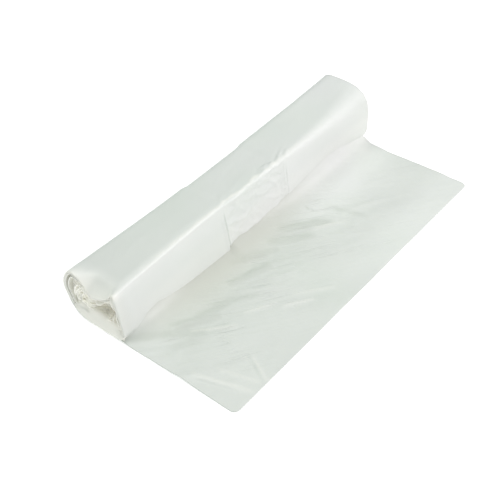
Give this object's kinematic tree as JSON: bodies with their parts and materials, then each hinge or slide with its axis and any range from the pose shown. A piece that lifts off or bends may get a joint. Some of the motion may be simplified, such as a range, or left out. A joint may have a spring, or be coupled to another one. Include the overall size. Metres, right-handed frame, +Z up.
{
  "type": "bin bag roll",
  "caption": "Coreless roll of thin translucent bin bags lying on its side, slightly squashed, with the first bag's end drawn out flat in front of it.",
  "frame": {"origin": "on the flat that the roll lies on, halfway along it and under its middle", "axes": "+X along the roll from its squashed end to its fuller end, -Y towards the free edge of the loose tail, +Z up"},
  "size_m": [0.28, 0.1408, 0.049],
  "materials": {
    "film": "milky translucent polyethylene film with a soft sheen, creased where it was folded"
  },
  "bodies": {
    "root": {"bag_roll": "film"}
  },
  "joints": []
}
